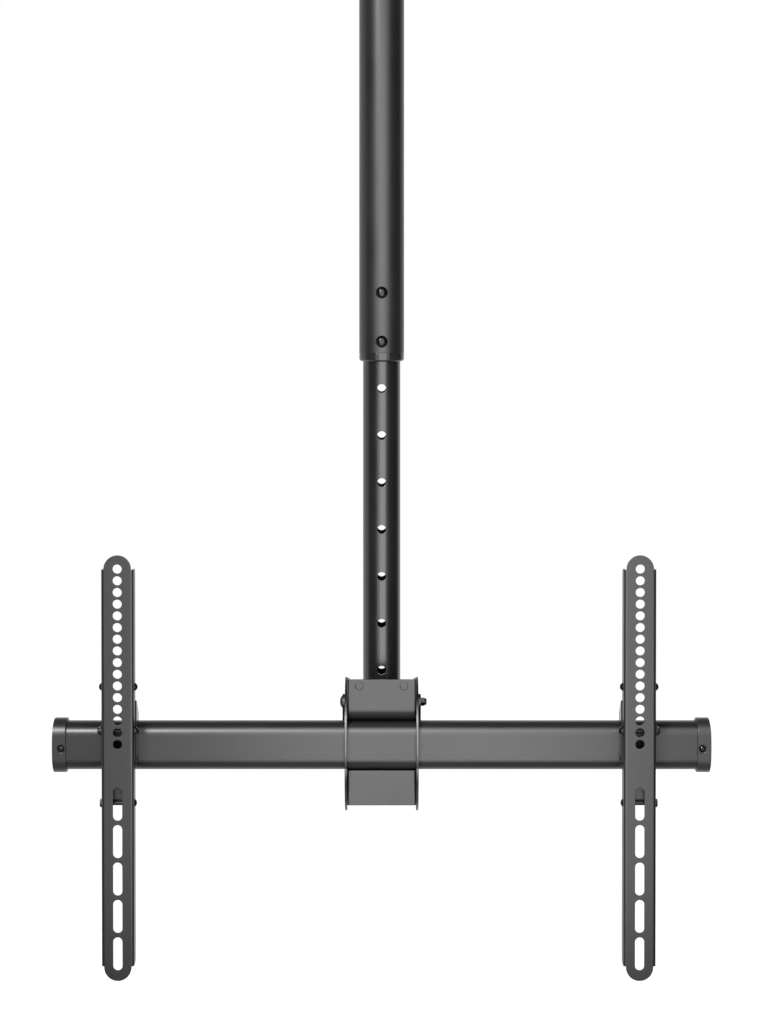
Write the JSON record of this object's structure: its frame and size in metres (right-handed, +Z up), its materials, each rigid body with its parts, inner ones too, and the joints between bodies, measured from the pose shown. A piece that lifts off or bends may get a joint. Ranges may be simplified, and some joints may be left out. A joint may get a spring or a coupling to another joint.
{
  "type": "tv ceiling mount",
  "caption": "Telescopic ceiling mount for a television: a swivelling column, a tilting carriage and a rail that carries upright slotted arms.",
  "frame": {"origin": "centre of the ceiling plate's top face, at the middle of its four bolt holes", "axes": "+Z up along the column, -Y towards the viewer (the screen's side), +X to the viewer's right"},
  "size_m": [0.6844, 0.172, 1.1344],
  "materials": {
    "black_paint": "satin",
    "black_plastic": "matte",
    "blackened_steel": "satin",
    "nylon": "matte"
  },
  "bodies": {
    "ceiling_side": {"ceiling_plate": "black_paint", "ceiling_socket": "black_paint", "swivel_ring": "black_paint", "swivel_ring_screws": "blackened_steel", "swivel_washer": "nylon"},
    "outer_side": {"outer_column": "black_paint", "column_collar": "black_paint", "column_end_ring": "black_plastic", "height_screws": "blackened_steel"},
    "inner_side": {"inner_column": "black_paint", "mast_guide": "black_plastic", "mast_plug": "black_plastic", "yoke": "black_paint", "upper_stay": "black_paint", "lower_stay": "black_paint", "tilt_bolt": "blackened_steel", "tilt_nut": "blackened_steel"},
    "carriage": {"left_side_plate": "black_paint", "right_side_plate": "black_paint", "saddle": "black_paint", "tilt_spacer": "black_paint", "rail": "black_paint", "rail_screws": "blackened_steel", "left_rail_cap": "black_plastic", "right_rail_cap": "black_plastic", "rail_cap_screws": "blackened_steel"},
    "left_arm_side": {"left_arm": "black_paint", "left_hook_bracket": "black_paint", "left_arm_inner_link": "black_paint", "left_arm_outer_link": "black_paint", "left_arm_bolts": "blackened_steel", "left_arm_nuts": "blackened_steel", "left_link_pin": "blackened_steel"},
    "right_arm_side": {"right_arm": "black_paint", "right_hook_bracket": "black_paint", "right_arm_inner_link": "black_paint", "right_arm_outer_link": "black_paint", "right_arm_bolts": "blackened_steel", "right_arm_nuts": "blackened_steel", "right_link_pin": "blackened_steel"}
  },
  "joints": [
    {"name": "column_swivel", "type": "hinge", "parent": "ceiling_side", "child": "outer_side", "pos_m": [0, 0, -0.033], "axis": [0, 0, 1], "range_deg": [-180, 180]},
    {"name": "height_slide", "type": "slide", "parent": "outer_side", "child": "inner_side", "axis": [0, 0, 1], "range_m": [0, 0.3]},
    {"name": "head_tilt", "type": "hinge", "parent": "inner_side", "child": "carriage", "pos_m": [0, -0.04, -0.8598], "axis": [1, 0, 0], "range_deg": [-5, 15]},
    {"name": "left_arm_slide", "type": "slide", "parent": "carriage", "child": "left_arm_side", "axis": [1, 0, 0], "range_m": [-0.03, 0.17]},
    {"name": "right_arm_slide", "type": "slide", "parent": "carriage", "child": "right_arm_side", "axis": [1, 0, 0], "range_m": [-0.165, 0.035]}
  ]
}
